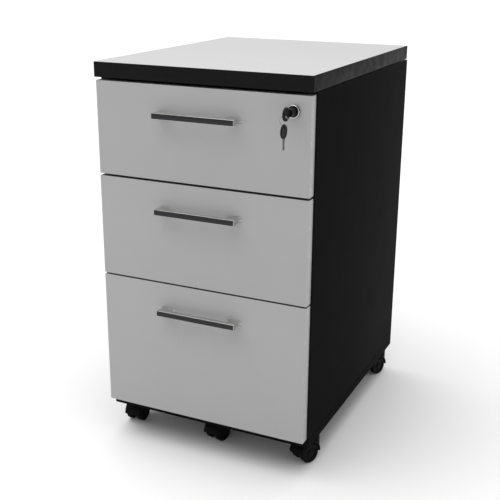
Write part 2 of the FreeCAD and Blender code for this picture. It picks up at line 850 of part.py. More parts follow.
def make_castor_mounts():
    plates = []
    for x, y in castor_places().values():
        half = "castor_plate_width / 2"
        low = (f"{x} - {half}", f"{y} - {half}", PLATE_LOW)
        high = (f"{x} + {half}", f"{y} + {half}", "ground_gap")
        stem = rod((x, y, f"{PLATE_LOW} - stem_length"), "Z", "stem_length + 1", "stem_radius")
        plates.append(fused(block(low, high), stem))
    named("castor_plates", cut(group(*plates), *castor_screw_shanks("fit_clearance")))

    heads = [
        rod(at, "Z", "screw_head_height", "screw_head_radius")
        for at in castor_screw_places(f"{PLATE_LOW} - screw_head_height")
    ]
    screws = [fused(shank, head) for shank, head in zip(castor_screw_shanks(), heads)]
    named("castor_screws", group(*screws))


def castor_hood():
    """The hood over both wheels, the hub round the stem and the web that holds the axle."""
    half = "hood_half_width"
    centre = ("castor_trail", "wheel_radius")
    drum = rod((f"-{half}", *centre), "X", f"2 * {half}", "hood_radius")
    upper_low = (f"-{half}", "castor_trail - hood_radius", "wheel_radius")
    upper = block(upper_low, (half, "castor_trail + hood_radius", "hub_high"))
    web = rod(("-web_half_width", *centre), "X", "2 * web_half_width", "wheel_radius - web_margin")
    hub = rod(("0", "0", "hub_low"), "Z", "hub_high - hub_low", "hub_radius")
    pocket_radius = "wheel_radius + wheel_clearance"
    pockets = [
        rod((start, *centre), "X", f"{half} + 1", pocket_radius)
        for start in ("web_half_width", f"-web_half_width - {half} - 1")
    ]
    bore = rod(("0", "0", "hub_low - 1"), "Z", "hub_high", "stem_radius + fit_clearance")
    axle_hole = rod((f"-{half}", *centre), "X", f"2 * {half}", "axle_radius")
    shell = cut(fused(shared(drum, upper), hub), *pockets)
    return cut(fused(shell, web), bore, axle_hole)


def castor_axle():
    half = "(wheel_outer - axle_end_inset)"
    return rod((f"-{half}", "castor_trail", "wheel_radius"), "X", f"2 * {half}", "axle_radius")


def castor_wheel(side):
    """A wheel turned about the axle, with a dished outer face."""
    body = new_body("Wheel")
    sketch = sketch_on(body, "XY_Plane")
    bore = "axle_radius + fit_clearance"
    profile = (
        (f"{side} * wheel_inner", bore),
        (f"{side} * (wheel_outer - dish_depth)", bore),
        (f"{side} * (wheel_outer - dish_depth)", "dish_radius - dish_depth"),
        (f"{side} * wheel_outer", "dish_radius"),
        (f"{side} * wheel_outer", "wheel_radius - wheel_rounding"),
        (f"{side} * (wheel_outer - wheel_rounding)", "wheel_radius"),
        (f"{side} * (wheel_inner + wheel_rounding)", "wheel_radius"),
        (f"{side} * wheel_inner", "wheel_radius - wheel_rounding"),
    )
    draw_outline(sketch, profile)
    turned = body.newObject("PartDesign::Revolution", "Revolution")
    turned.Profile = sketch
    turned.ReferenceAxis = (sketch, ["H_Axis"])
    turned.Angle = 360
    return place(body, ("0", "castor_trail", "wheel_radius"))


def make_castors():
    """Each castor's pieces, drawn once round the swivel's axis and placed five times."""
    pieces = {
        "castor_frame": (castor_hood(), castor_axle()),
        "castor_wheel_left": (castor_wheel(-1),),
        "castor_wheel_right": (castor_wheel(1),),
    }
    for name, (x, y) in castor_places().items():
        for piece, solids in pieces.items():
            copy = place(group(*solids), (x, y, "0"), Rotation(Vector(0, 0, 1), 1))
            copy.setExpression("Placement.Rotation.Angle", sized(f"{name}_turn"))
            named(f"{piece}_{name}", copy)


def check_document():
    doc.recompute()
    for thing in doc.Objects:
        if "Invalid" in thing.State or "Error" in thing.State:
            raise RuntimeError(f"{thing.Label} failed: {thing.State}")
    for part in parts:
        if part.Shape.isNull() or not part.Shape.isValid():
            raise RuntimeError(f"{part.Label} has no valid shape")


def write_parts():
    os.makedirs("parts", exist_ok=True)
    for part in parts:
        part.Shape.exportStep(f"parts/{part.Label}.step")
    print(f"{len(parts)} sub-parts written")


make_sheet()
make_top()
make_carcass()
make_slides()
make_drawers()
make_lock()
make_lock_bar()
make_keys()
make_castor_mounts()
make_castors()
check_document()
write_parts()
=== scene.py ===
"""Looks of the rolling pedestal cabinet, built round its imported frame.

Metres, +Z up. The drawer fronts face -Y.
"""

import json
from math import cos, pi, radians, sin

import bmesh
import bpy
from mathutils import Matrix, Vector

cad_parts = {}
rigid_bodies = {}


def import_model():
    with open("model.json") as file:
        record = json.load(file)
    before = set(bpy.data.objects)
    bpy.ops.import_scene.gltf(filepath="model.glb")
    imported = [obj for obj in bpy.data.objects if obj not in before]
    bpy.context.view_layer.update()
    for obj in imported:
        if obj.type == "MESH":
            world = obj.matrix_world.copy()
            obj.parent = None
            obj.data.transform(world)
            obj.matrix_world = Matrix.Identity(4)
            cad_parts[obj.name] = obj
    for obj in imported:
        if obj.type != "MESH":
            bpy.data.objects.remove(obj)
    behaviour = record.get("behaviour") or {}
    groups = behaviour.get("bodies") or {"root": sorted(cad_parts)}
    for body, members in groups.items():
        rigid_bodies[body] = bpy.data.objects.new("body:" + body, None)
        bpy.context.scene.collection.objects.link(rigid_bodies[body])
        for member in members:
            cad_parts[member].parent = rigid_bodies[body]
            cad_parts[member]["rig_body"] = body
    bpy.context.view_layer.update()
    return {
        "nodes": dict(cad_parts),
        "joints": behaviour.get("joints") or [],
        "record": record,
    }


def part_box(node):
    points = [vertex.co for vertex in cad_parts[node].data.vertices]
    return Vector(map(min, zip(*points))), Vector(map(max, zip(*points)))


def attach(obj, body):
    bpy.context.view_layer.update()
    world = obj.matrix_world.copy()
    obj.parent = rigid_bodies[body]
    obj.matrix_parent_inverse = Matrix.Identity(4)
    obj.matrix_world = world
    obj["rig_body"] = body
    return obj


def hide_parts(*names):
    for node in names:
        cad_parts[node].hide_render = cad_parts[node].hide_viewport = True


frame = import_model()
NODES = frame["nodes"]
JOINTS = {joint["name"]: joint for joint in frame["joints"]}

DRAWERS = ("top", "middle", "bottom")
CASTORS = ("front_left", "front_middle", "front_right", "rear_left", "rear_right")
X_AXIS, Y_AXIS, Z_AXIS = range(3)
MM = 0.001


# node trees


def new_material(name, color, roughness, metallic=0.0, gloss=0.5):
    """A Principled material, and the tree and shader to build on."""
    material = bpy.data.materials.new(name)
    material.use_nodes = True
    tree = material.node_tree
    shader = tree.nodes["Principled BSDF"]
    shader.inputs["Base Color"].default_value = (*color, 1)
    shader.inputs["Roughness"].default_value = roughness
    shader.inputs["Metallic"].default_value = metallic
    shader.inputs["Specular IOR Level"].default_value = gloss
    return material, tree, shader


def add_noise(tree, scale, detail=2, stretch=(1, 1, 1)):
    """Noise in the object's own coordinates, at a scale in features per metre."""
    coordinates = tree.nodes.new("ShaderNodeTexCoord")
    mapping = tree.nodes.new("ShaderNodeMapping")
    mapping.inputs["Scale"].default_value = stretch
    noise = tree.nodes.new("ShaderNodeTexNoise")
    noise.inputs["Scale"].default_value = scale
    noise.inputs["Detail"].default_value = detail
    tree.links.new(coordinates.outputs["Object"], mapping.inputs["Vector"])
    tree.links.new(mapping.outputs["Vector"], noise.inputs["Vector"])
    return noise.outputs["Fac"]


def add_range(tree, value, low=0, high=1, start=0.3, end=0.7):
    """The value, spread from low to high while it goes from start to end."""
    spread = tree.nodes.new("ShaderNodeMapRange")
    spread.inputs["From Min"].default_value = start
    spread.inputs["From Max"].default_value = end
    spread.inputs["To Min"].default_value = low
    spread.inputs["To Max"].default_value = high
    tree.links.new(value, spread.inputs["Value"])
    return spread.outputs["Result"]


def add_mix(tree, factor, first, second):
    """A colour between two, each of them a colour or a socket."""
    mix = tree.nodes.new("ShaderNodeMix")
    mix.data_type = "RGBA"
    tree.links.new(factor, mix.inputs["Factor"])
    for socket, color in ((mix.inputs[6], first), (mix.inputs[7], second)):
        if isinstance(color, bpy.types.NodeSocket):
            tree.links.new(color, socket)
        else:
            socket.default_value = (*color, 1)
    return mix.outputs[2]


def set_color(tree, shader, factor, first, second):
    """The base colour goes from the first colour to the second with the factor."""
    tree.links.new(add_mix(tree, factor, first, second), shader.inputs["Base Color"])


def set_roughness(tree, shader, value, low, high):
    """The roughness goes from low to high with the value."""
    tree.links.new(add_range(tree, value, low, high), shader.inputs["Roughness"])


def set_bump(tree, shader, height, distance, strength=0.5):
    bump = tree.nodes.new("ShaderNodeBump")
    bump.inputs["Strength"].default_value = strength
    bump.inputs["Distance"].default_value = distance
    tree.links.new(height, bump.inputs["Height"])
    tree.links.new(bump.outputs["Normal"], shader.inputs["Normal"])


# materials


def grey(level):
    return (level, level, level)


def shade(color, factor):
    return tuple(channel * factor for channel in color)


def laminate(name, color, roughness=0.45, gloss=0.5, marks=0.06):
    """Melamine-faced board: a fine pearl texture, faint mottling and handling marks."""
    material, tree, shader = new_material(name, color, roughness, gloss=gloss)
    mottling = add_range(tree, add_noise(tree, scale=9, detail=4))
    mottled = add_mix(tree, mottling, shade(color, 0.985), shade(color, 1.012))
    speckle = add_range(tree, add_noise(tree, scale=1400, detail=1))
    flecks = add_range(tree, speckle, high=0.35, start=0, end=1)
    set_color(tree, shader, flecks, mottled, shade(color, 0.9))
    smudges = add_noise(tree, scale=22, detail=5)
    set_roughness(tree, shader, smudges, roughness - marks, roughness + marks)
    set_bump(tree, shader, add_noise(tree, scale=900), distance=0.06 * MM)
    return material


def edging(name, color, roughness, gloss=0.5):
    """Extruded edge band: a fine texture, with small pale nicks."""
    material, tree, shader = new_material(name, color, roughness, gloss=gloss)
    nicks = add_range(tree, add_noise(tree, scale=160, detail=6), start=0.58, end=0.78)
    set_color(tree, shader, nicks, color, shade(color, 1.5))
    patches = add_noise(tree, scale=60, detail=4)
    set_roughness(tree, shader, patches, roughness - 0.05, roughness + 0.1)
    set_bump(tree, shader, add_noise(tree, scale=1500), distance=0.04 * MM)
    return material


def moulded(name, color, roughness, dust, gloss):
    """Moulded plastic or paint: a fine even texture, with dust and scuffs in patches."""
    material, tree, shader = new_material(name, color, roughness, gloss=gloss)
    noise = add_noise(tree, scale=130, detail=6)
    patches = add_range(tree, noise, high=0.3, start=0.48, end=0.75)
    set_color(tree, shader, patches, color, dust)
    scuffs = add_noise(tree, scale=220, detail=4)
    set_roughness(tree, shader, scuffs, roughness - 0.08, roughness + 0.12)
    set_bump(tree, shader, add_noise(tree, scale=2600), distance=0.08 * MM, strength=0.6)
    return material


def brushed(name, color, roughness, along, strength=0.35):
    """Brushed or rolled metal, with its lines along one axis."""
    material, tree, shader = new_material(name, color, roughness, metallic=1.0)
    stretch = tuple(0.012 if axis == along else 1 for axis in range(3))
    lines = add_noise(tree, scale=2600, detail=3, stretch=stretch)
    set_color(tree, shader, add_range(tree, lines), shade(color, 0.9), shade(color, 1.06))
    set_roughness(tree, shader, lines, roughness - 0.05, roughness + 0.09)
    set_bump(tree, shader, lines, distance=0.03 * MM, strength=strength)
    return material


def satin(name, color, roughness, along):
    """Satin metal, with fainter lines than brushed metal has."""
    return brushed(name, color, roughness, along, strength=0.2)


def polished(name, color, roughness):
    """Plated metal, with faint handling haze."""
    material, tree, shader = new_material(name, color, roughness, metallic=1.0)
    haze = add_noise(tree, scale=260, detail=5)
    set_color(tree, shader, add_range(tree, haze), color, shade(color, 0.93))
    set_roughness(tree, shader, haze, roughness - 0.02, roughness + 0.1)
    return material


def polymer(name, color, roughness, gloss):
    """Smooth plastic, with fine marks from use."""
    material, tree, shader = new_material(name, color, roughness, gloss=gloss)
    marks = add_noise(tree, scale=420, detail=5)
    set_color(tree, shader, add_range(tree, marks), color, shade(color, 1.25))
    set_roughness(tree, shader, marks, roughness - 0.05, roughness + 0.14)
    set_bump(tree, shader, marks, distance=0.03 * MM, strength=0.3)
    return material


def wood(name, color, roughness):
    """Bare wood, with its grain along X."""
    material, tree, shader = new_material(name, color, roughness)
    grain = add_noise(tree, scale=700, detail=4, stretch=(0.08, 1, 1))
    set_color(tree, shader, add_range(tree, grain), color, shade(color, 0.72))
    set_bump(tree, shader, grain, distance=0.1 * MM)
    return material


# painted light and shade: the top and the fronts are one light grey laminate; the fronts' grey is
# painted darker for their shade
SHADED_FRONT_GREY = grey(0.37)

# one for each slot of the record, and one for each finish that the pieces add
RECIPES = {
    # painted light: the top's grey is lighter than the fronts' for the light that falls on it from
    # above
    "top_laminate": (laminate, dict(color=grey(0.585))),
    "front_laminate": (laminate, dict(color=SHADED_FRONT_GREY)),
    "front_edging": (edging, dict(color=shade(SHADED_FRONT_GREY, 1.05), roughness=0.4)),
    # painted shade: the upper and lower narrow sides of the fronts take a darker grey for the shade
    # in the gaps between them
    "front_level_edging": (edging, dict(color=shade(SHADED_FRONT_GREY, 0.35), roughness=0.5, gloss=0.2)),
    "black_board": (laminate, dict(color=grey(0.006), roughness=0.75, gloss=0.02, marks=0.02)),
    "black_edging": (edging, dict(color=(0.007, 0.007, 0.0072), roughness=0.5, gloss=0.065)),
    "drawer_board": (laminate, dict(color=grey(0.33), roughness=0.5)),
    "drawer_panel": (laminate, dict(color=(0.42, 0.42, 0.41), roughness=0.42)),
    "dowel_beech": (wood, dict(color=(0.62, 0.44, 0.27), roughness=0.6)),
    "zinc_steel": (brushed, dict(color=(0.62, 0.62, 0.6), roughness=0.34, along=Z_AXIS)),
    "slide_steel": (brushed, dict(color=(0.64, 0.64, 0.63), roughness=0.32, along=Y_AXIS)),
    "key_steel": (brushed, dict(color=(0.17, 0.17, 0.168), roughness=0.32, along=Z_AXIS)),
    "handle_nickel": (satin, dict(color=(0.6, 0.6, 0.59), roughness=0.3, along=X_AXIS)),
    # painted shade: the feet are the same metal as the bar, given a darker grey for the light that
    # falls less on them
    "handle_foot": (satin, dict(color=(0.52, 0.52, 0.515), roughness=0.42, along=Y_AXIS)),
    "handle_inlay": (satin, dict(color=(0.038, 0.038, 0.04), roughness=0.38, along=X_AXIS)),
    "lock_chrome": (polished, dict(color=(0.55, 0.55, 0.56), roughness=0.09)),
    # painted shade: the bezel's side wall is the same chrome as its lip, given a dark grey for the
    # shade and dark reflection on it
    "lock_side": (polished, dict(color=(0.07, 0.07, 0.072), roughness=0.2)),
    "ring_wire": (polished, dict(color=grey(0.36), roughness=0.2)),
    "lock_core_black": (polymer, dict(color=(0.004, 0.004, 0.0045), roughness=0.2, gloss=0.2)),
    "key_plastic": (polymer, dict(color=(0.004, 0.004, 0.0042), roughness=0.36, gloss=0.16)),
    "castor_steel": (moulded, dict(color=grey(0.02), roughness=0.4, dust=grey(0.08), gloss=0.3)),
    "castor_nylon": (
        moulded,
        dict(color=(0.002, 0.002, 0.0021), roughness=0.5, dust=(0.007, 0.007, 0.0068), gloss=0.07),
    ),
    "wheel_nylon": (
        moulded,
        dict(
            color=(0.0025, 0.0025, 0.0026), roughness=0.45, dust=(0.008, 0.0078, 0.0075), gloss=0.08
        ),
    ),
    "wheel_tread": (
        moulded,
        dict(color=grey(0.004), roughness=0.62, dust=(0.018, 0.0175, 0.017), gloss=0.06),
    ),
}
FINISHES = {name: recipe(name, **values) for name, (recipe, values) in RECIPES.items()}


def finish_cad_nodes():
    """Every CAD node takes the finish of its own slot."""
    for entry in frame["record"]["subparts"]:
        mesh = NODES[entry["node"]].data
        mesh.materials.clear()
        mesh.materials.append(FINISHES[entry["material_slot"]])


# meshes


def smooth(mesh, sharp_angle):
    mesh.shade_smooth()
    mesh.set_sharp_from_angle(angle=radians(sharp_angle))


def as_mesh(name, shape, sharp_angle=35):
    """The bmesh as a mesh, smooth except where its faces meet at more than the angle."""
    bmesh.ops.remove_doubles(shape, verts=shape.verts, dist=0.0001 * MM)
    bmesh.ops.recalc_face_normals(shape, faces=shape.faces)
    mesh = bpy.data.meshes.new(name)
    shape.to_mesh(mesh)
    shape.free()
    smooth(mesh, sharp_angle)
    return mesh


def add_box(shape, low, high, rounding=0.0, steps=2):
    """A box with rounded edges."""
    low, high = Vector(low), Vector(high)
    size = Matrix.Diagonal((*(high - low), 1))
    place = Matrix.Translation((low + high) / 2)
    made = bmesh.ops.create_cube(shape, size=1, matrix=place @ size)
    if rounding:
        edges = dict.fromkeys(edge for vertex in made["verts"] for edge in vertex.link_edges)
        bmesh.ops.bevel(
            shape, geom=list(edges), offset=rounding, segments=steps, profile=0.5, affect="EDGES"
        )


def add_lathe(shape, profile, place, steps, turn=2 * pi):
    """Turns an outline of (radius, height) points about the Z axis, then puts it in place."""
    closed = turn >= 2 * pi
    count = steps if closed else steps + 1
    rings = []
    for i in range(count):
        angle = turn * i / steps
        points = [Vector((r * cos(angle), r * sin(angle), z)) for r, z in profile]
        rings.append([shape.verts.new(place @ point) for point in points])
    for i in range(steps):
        first, second = rings[i], rings[(i + 1) % count]
        for j in range(len(profile) - 1):
            on_axis = profile[j][0] == profile[j + 1][0] == 0
            if not on_axis:
                shape.faces.new((first[j], first[j + 1], second[j + 1], second[j]))
    return rings


def add_half_lathe(shape, section, place):
    """Turns a closed section half way round the Z axis, and closes both ends."""
    rings = add_lathe(shape, section, place, steps=48, turn=pi)
    shape.faces.new(rings[0][:-1])
    shape.faces.new(rings[-1][-2::-1])


def add_skin(shape, rings, closed_ends=True):
    """Faces between rings of the same number of points, each ring closed."""
    rows = [[shape.verts.new(point) for point in ring] for ring in rings]
    for first, second in zip(rows, rows[1:]):
        for j in range(len(first)):
            k = (j + 1) % len(first)
            shape.faces.new((first[j], first[k], second[k], second[j]))
    if closed_ends:
        shape.faces.new(rows[0][::-1])
        shape.faces.new(rows[-1])


def arc(centre, radius, start, end, steps):
    """Points on an arc, with its angles in degrees."""
    angles = [radians(start + (end - start) * i / steps) for i in range(steps + 1)]
    return [(centre[0] + radius * cos(a), centre[1] + radius * sin(a)) for a in angles]


def along_axis(point, direction):
    """Puts the Z axis through the point, along the direction."""
    turn = Vector(direction).to_track_quat("Z", "Y").to_matrix().to_4x4()
    return Matrix.Translation(point) @ turn


def cylinder(radius, start, end, place, steps=48):
    """A plain solid to carve with, between two heights on its axis."""
    shape = bmesh.new()
    add_lathe(shape, [(0, start), (radius, start), (radius, end), (0, end)], place, steps)
    return as_mesh("cutter", shape)


def carve(mesh, *cutters, sharp_angle=35):
    """The mesh with the cutters' volumes taken away."""
    scene = bpy.context.scene
    base = bpy.data.objects.new("base", mesh)
    scene.collection.objects.link(base)
    tools = []
    for cutter in cutters:
        tool = bpy.data.objects.new("tool", cutter)
        scene.collection.objects.link(tool)
        modifier = base.modifiers.new("carve", "BOOLEAN")
        modifier.operation = "DIFFERENCE"
        modifier.solver = "EXACT"
        modifier.object = tool
        tools.append(tool)
    evaluated = base.evaluated_get(bpy.context.evaluated_depsgraph_get())
    result = bpy.data.meshes.new_from_object(evaluated)
    for piece in (base, *tools):
        bpy.data.objects.remove(piece)
    result.name = mesh.name
    smooth(result, sharp_angle)
    return result


def use_second_finish(shape, count):
    """Every face after the first count faces takes the piece's second finish."""
    shape.faces.ensure_lookup_table()
    for face in shape.faces[count:]:
        face.material_index = 1


# pieces


def body_of(node):
    return NODES[node]["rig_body"]


def add_piece(name, mesh, body, slot, nodes, finishes=None):
    """A piece that rides on a body and stands for some of its CAD nodes."""
    for finish in finishes or (slot,):
        mesh.materials.append(FINISHES[finish])
    piece = bpy.data.objects.new(name, mesh)
    bpy.context.scene.collection.objects.link(piece)
    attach(piece, body)
    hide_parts(*nodes)


# boards


def make_board(node, slot, rounding, edge_finish=None, gap_shade_finish=None, holes=()):
    """A board in its node's box. Its narrow sides and rounded edges take the edge finish.

    Its upper and lower sides take the gap shade finish instead, where there is one: a darker grey
    painted on as the shade that falls in the gaps between the drawer fronts.
    """
    flat = 0.999  # the least that the normal of a flat side has along its axis
    low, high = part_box(node)
    shape = bmesh.new()
    add_box(shape, low, high, rounding, steps=3)
    thin = min(range(3), key=lambda axis: high[axis] - low[axis])
    if edge_finish:
        for face in shape.faces:
            face.normal_update()
            face.material_index = 0 if abs(face.normal[thin]) > flat else 1
            # painted gap shade: upper and lower sides darker than the other narrow sides
            if gap_shade_finish and abs(face.normal.z) > flat:
                face.material_index = 2
    mesh = as_mesh(f"{node}_board", shape, sharp_angle=50)
    if holes:
        mesh = carve(mesh, *holes)
    finishes = [finish for finish in (slot, edge_finish, gap_shade_finish) if finish]
    add_piece(f"{node}_board", mesh, body_of(node), slot, (node,), finishes)


def make_top_edging():
    """One band round the board, rounded at its outer edges and corners."""
    low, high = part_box("top_edge_band")
    inner_low, inner_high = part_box("top_board")
    rounding = 0.9 * MM
    flat_end = inner_low.x - low.x - rounding
    profile = [(0, low.z)]
    profile += arc((flat_end, low.z + rounding), rounding, -90, 0, steps=4)
    profile += arc((flat_end, high.z - rounding), rounding, 0, 90, steps=4)
    profile.append((0, high.z))
    corners = (
        (inner_high.x, inner_high.y, 0),
        (inner_low.x, inner_high.y, 90),
        (inner_low.x, inner_low.y, 180),
        (inner_high.x, inner_low.y, 270),
    )
    steps = 6
    rings = []
    for x, y, start in corners:
        for i in range(steps + 1):
            angle = radians(start + 90 * i / steps)
            ring = [Vector((x + d * cos(angle), y + d * sin(angle), z)) for d, z in profile]
            rings.append(ring)
    shape = bmesh.new()
    add_skin(shape, rings + rings[:1], closed_ends=False)
    mesh = as_mesh("top_edging", shape)
    add_piece("top_edging", mesh, "cabinet", "black_edging", ("top_edge_band",))


def lock_hole():
    """The hole in the top front that the lock's barrel goes through."""
    low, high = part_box("lock_housing")
    front_low, front_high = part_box("front_top")
    centre = (low + high) / 2
    radius, beyond = 9.05 * MM, 10 * MM
    place = along_axis((centre.x, 0, centre.z), (0, 1, 0))
    return cylinder(radius, front_low.y - beyond, front_high.y + beyond, place)


def make_drawer_box(drawer):
    """The four boards of a drawer, with eased edges."""
    node = f"drawer_box_{drawer}"
    low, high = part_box(node)
    board = 12 * MM
    boxes = (
        (low, (low.x + board, high.y, high.z)),
        ((high.x - board, low.y, low.z), high),
        ((low.x + board, low.y, low.z), (high.x - board, low.y + board, high.z)),
        ((low.x + board, high.y - board, low.z), (high.x - board, high.y, high.z)),
    )
    shape = bmesh.new()
    for corners in boxes:
        add_box(shape, *corners, rounding=0.5 * MM)
    mesh = as_mesh(f"{node}_boards", shape, sharp_angle=50)
    add_piece(f"{node}_boards", mesh, body_of(node), "drawer_board", (node,))


def make_boards():
    eased = 0.3 * MM
    make_board("top_board", "top_laminate", rounding=0.25 * MM)
    make_top_edging()
    for node in ("side_panel_left", "side_panel_right", "back_panel"):
        make_board(node, "black_board", eased, "black_edging")
    for node in ("bottom_panel", "front_rail", "rear_rail"):
        make_board(node, "black_board", eased)
    for drawer in DRAWERS:
        holes = (lock_hole(),) if drawer == "top" else ()
        # the fronts' upper and lower narrow sides take the painted gap shade
        node, finishes = f"front_{drawer}", ("front_edging", "front_level_edging")
        make_board(node, "front_laminate", 0.8 * MM, *finishes, holes)
        make_drawer_box(drawer)


# handles

BAR_DEPTH = 9 * MM
BAR_HALF_HEIGHT = 5 * MM
BAR_EDGE = 0.62 * MM  # the bare metal round the dark strip
FOOT_REACH = 64 * MM  # from the middle of the bar to the middle of a foot


def superellipse(x, y, z, width, height, power, steps=40):
    """A ring in an XZ plane, between an ellipse (power 2) and a rectangle."""
    points = []
    for i in range(steps):
        angle = 2 * pi * i / steps
        across, up = cos(angle), sin(angle)
        dx = abs(across) ** (2 / power) * (1 if across >= 0 else -1)
        dz = abs(up) ** (2 / power) * (1 if up >= 0 else -1)
        points.append(Vector((x + dx * width / 2, y, z + dz * height / 2)))
    return points


def add_handle_foot(shape, x, z, front, bar_back, steps=14):
    """A cast foot: a broad oval on the front that draws in to the bar's own section."""
    neck_width, neck_height = 17 * MM, 9.2 * MM
    more_width, more_height = 10.8 * MM, 2.7 * MM
    oval, boxy = 2.4, 4.0
    draw_in = 2.4
    end = bar_back - 1.2 * MM
    rings = []
    for i in range(steps + 1):
        t = i / steps
        flare = (1 - t) ** draw_in
        width = neck_width + more_width * flare
        height = neck_height + more_height * flare
        power = oval + (boxy - oval) * t
        rings.append(superellipse(x, front + (end - front) * t, z, width, height, power))
    add_skin(shape, rings)


def make_handle_bar(drawer, left, right, middle):
    """The bar, with a shallow bed for its strip, on two feet."""
    node = f"handle_{drawer}"
    low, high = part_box(node)
    bar_back = low.y + BAR_DEPTH
    rim, wall, bed = 0.1 * MM, 0.02 * MM, 0.35 * MM
    shape = bmesh.new()
    add_box(
        shape,
        (left, low.y, middle - BAR_HALF_HEIGHT),
        (right, bar_back, middle + BAR_HALF_HEIGHT),
        rounding=0.45 * MM,
        steps=3,
    )
    front = min(shape.faces, key=lambda face: face.calc_center_median().y)
    bmesh.ops.inset_region(shape, faces=[front], thickness=rim)
    bmesh.ops.inset_region(shape, faces=[front], thickness=wall, depth=-bed)
    count = len(shape.faces)
    for side in (-1, 1):
        add_handle_foot(shape, side * FOOT_REACH, middle, high.y, bar_back)
    # the feet take the darker grey of painted shade
    use_second_finish(shape, count)
    name, finishes = f"handle_bar_{drawer}", ("handle_nickel", "handle_foot")
    mesh = as_mesh(name, shape, sharp_angle=32)
    add_piece(name, mesh, body_of(node), "handle_nickel", (node,), finishes)


def make_handle(drawer):
    """The bar, and the dark strip that stands just behind its front."""
    inlay = f"handle_inlay_{drawer}"
    strip_low, strip_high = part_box(inlay)
    middle = (strip_low.z + strip_high.z) / 2
    make_handle_bar(drawer, strip_low.x - BAR_EDGE, strip_high.x + BAR_EDGE, middle)

    bar_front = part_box(f"handle_{drawer}")[0].y
    half_height = BAR_HALF_HEIGHT - BAR_EDGE
    shape = bmesh.new()
    add_box(
        shape,
        (strip_low.x, bar_front + 0.08 * MM, middle - half_height),
        (strip_high.x, bar_front + 0.9 * MM, middle + half_height),
        rounding=0.12 * MM,
    )
    name = f"handle_strip_{drawer}"
    mesh = as_mesh(name, shape, sharp_angle=50)
    add_piece(name, mesh, body_of(inlay), "handle_inlay", (inlay,))


def make_handles():
    for drawer in DRAWERS:
        make_handle(drawer)


# lock and keys


def make_lock_bezel(axis, place):
    """The barrel through the front, with a rounded bezel round its recessed mouth."""
    low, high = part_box("lock_housing")
    reach, depth = axis[1] - low.y, axis[1] - high.y
    radius = (high.x - low.x) / 2
    barrel, bore, mouth = 9 * MM, 6.55 * MM, 8.7 * MM
    rounding, lip = 1.3 * MM, 0.25 * MM
    profile = [(bore, depth), (barrel, depth), (barrel, 0), (radius, 0)]
    profile += arc((radius - rounding, reach - rounding), rounding, 0, 90, steps=6)
    profile += arc((mouth + lip, reach - lip), lip, 90, 180, steps=3)
    profile += [(mouth - 0.5 * MM, reach - 1.6 * MM), (bore, reach - 1.8 * MM), (bore, depth)]
    shape = bmesh.new()
    add_lathe(shape, profile, place, steps=96)
    # the side wall behind the rim takes the dark grey of painted shade
    rim_end = low.y + 0.7 * rounding
    for face in shape.faces:
        face.material_index = 1 if face.calc_center_median().y > rim_end else 0
    mesh = as_mesh("lock_bezel", shape, sharp_angle=40)
    finishes = ("lock_chrome", "lock_side")
    add_piece("lock_bezel", mesh, "top_drawer", "lock_chrome", ("lock_housing",), finishes)


def make_lock_core(axis, place):
    """The plug: a collar behind its rounded face, a long barrel, a square tail and a keyway."""
    low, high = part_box("lock_plug")
    reach = axis[1] - low.y
    radius, collar, nose = 6.5 * MM, 8.1 * MM, 6.15 * MM
    rounding, collar_rounding = 0.7 * MM, 0.2 * MM
    barrel_end = -27 * MM
    profile = [(0, barrel_end), (radius, barrel_end), (radius, 2 * MM), (collar, 2.9 * MM)]
    profile += arc((collar - collar_rounding, 3.6 * MM), collar_rounding, 0, 90, steps=3)
    profile += [(6.9 * MM, 3.9 * MM), (6.4 * MM, 4.6 * MM)]
    profile += arc((nose - rounding, reach - rounding), rounding, 0, 90, steps=5)
    profile.append((0, reach))
    shape = bmesh.new()
    add_lathe(shape, profile, place, steps=80)
    tail, overlap = 3 * MM, 1 * MM
    add_box(
        shape,
        (axis[0] - tail, axis[1] - barrel_end - overlap, axis[2] - tail),
        (axis[0] + tail, high.y, axis[2] + tail),
        rounding=0.3 * MM,
    )
    half_width, half_height, deep = 1 * MM, 2.8 * MM, 19 * MM
    keyway = bmesh.new()
    add_box(
        keyway,
        (axis[0] - half_width, low.y - 2 * MM, axis[2] - half_height),
        (axis[0] + half_width, low.y + deep, axis[2] + half_height),
    )
    mesh = carve(as_mesh("lock_core", shape, sharp_angle=40), as_mesh("keyway", keyway))
    add_piece("lock_core_turned", mesh, "lock_core", "lock_core_black", ("lock_plug",))


def make_lock():
    axis = JOINTS["lock_turn"]["pos_m"]
    place = along_axis(axis, (0, -1, 0))
    make_lock_bezel(axis, place)
    make_lock_core(axis, place)


def add_key_head(shape, place, steps=48):
    """An oval head with a raised rim round a flat middle, from the origin along Y."""
    half_length, half_width = 11 * MM, 10.5 * MM
    # each ring's size as a share of the oval, and half the thickness there in mm
    side = [(0.30, 1.12), (0.72, 1.12), (0.765, 1.2), (0.80, 1.5), (0.84, 1.64), (0.92, 1.68)]
    side += [(0.965, 1.5), (0.99, 1.1), (1.0, 0.6)]
    outline = [(reach, height * MM) for reach, height in side]
    outline += [(reach, -height) for reach, height in reversed(outline)]
    rings = []
    for reach, x in outline:
        ring = []
        for i in range(steps):
            angle = 2 * pi * i / steps
            y = half_length + reach * half_length * cos(angle)
            ring.append(place @ Vector((x, y, reach * half_width * sin(angle))))
        rings.append(ring)
    add_skin(shape, rings)


